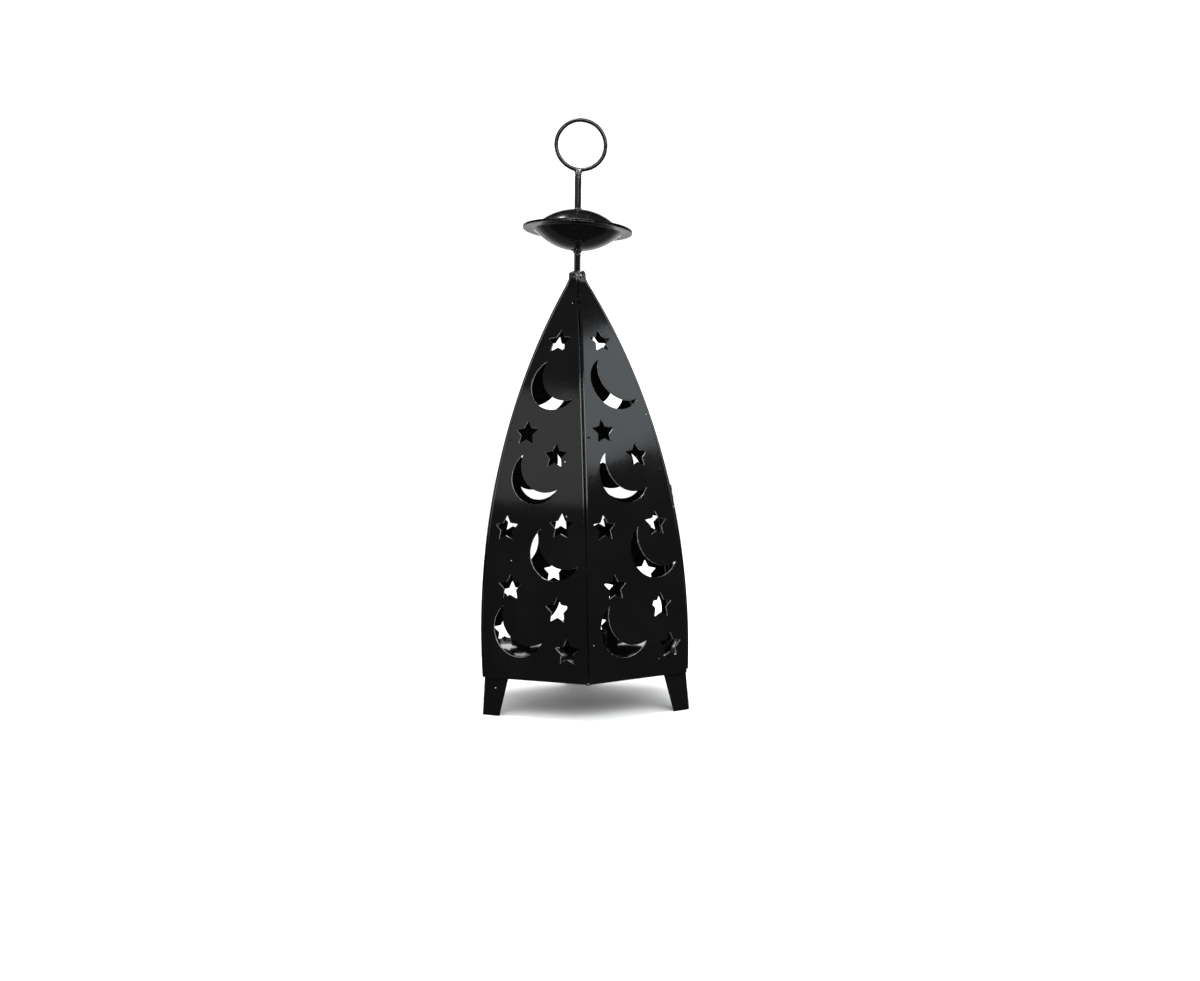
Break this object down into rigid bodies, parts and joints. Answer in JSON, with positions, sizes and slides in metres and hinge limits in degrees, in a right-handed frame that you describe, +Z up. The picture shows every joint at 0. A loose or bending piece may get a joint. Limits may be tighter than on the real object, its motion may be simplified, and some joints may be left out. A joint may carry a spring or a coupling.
{
  "type": "metal lantern",
  "caption": "Six-sided ogival metal lantern with star and crescent cut-outs, hinged door, domed smoke shield, hanging ring and feet.",
  "frame": {"origin": "on the lantern's centre line, at the ground that its feet stand on", "axes": "+Z up; a corner of the shell points to -Y, which is the front; the door's panel faces +X"},
  "size_m": [0.1368, 0.1526, 0.3885],
  "materials": {
    "gloss_black": "glossy black paint on sheet steel",
    "weld_bead": "glossy black paint over rough weld",
    "hardware": "glossy black paint on small fittings"
  },
  "bodies": {
    "root": {"panel_front_left": "gloss_black", "panel_front_right": "gloss_black", "panel_back_right": "gloss_black", "panel_back_left": "gloss_black", "panel_left": "gloss_black", "panel_right_upper": "gloss_black", "lower_hinge_fixed_leaf": "hardware", "lower_hinge_pin": "hardware", "upper_hinge_fixed_leaf": "hardware", "upper_hinge_pin": "hardware", "turn_button_rivet": "hardware", "floor_plate": "gloss_black", "candle_cup": "gloss_black", "foot_front_right": "gloss_black", "foot_front_left": "gloss_black", "foot_back": "gloss_black", "stem": "gloss_black", "upper_dish": "gloss_black", "lower_dish": "gloss_black", "dish_weld_top": "weld_bead", "dish_weld_bottom": "weld_bead", "neck_weld": "weld_bead", "hanging_ring": "gloss_black"},
    "door": {"door": "gloss_black", "lower_hinge_door_leaf": "hardware", "upper_hinge_door_leaf": "hardware"},
    "turn_button": {"turn_button": "hardware"}
  },
  "joints": [
    {"name": "door_hinge", "type": "hinge", "parent": "root", "child": "door", "pos_m": [0.06838, 0.03948, 0.058], "axis": [-0.0745, -0.043, 0.9963], "range_deg": [0, 120]},
    {"name": "turn_button_pivot", "type": "hinge", "parent": "root", "child": "turn_button", "pos_m": [0.05786, -0.019, 0.13628], "axis": [0.9859, 0, 0.1676], "range_deg": [0, 135]}
  ]
}
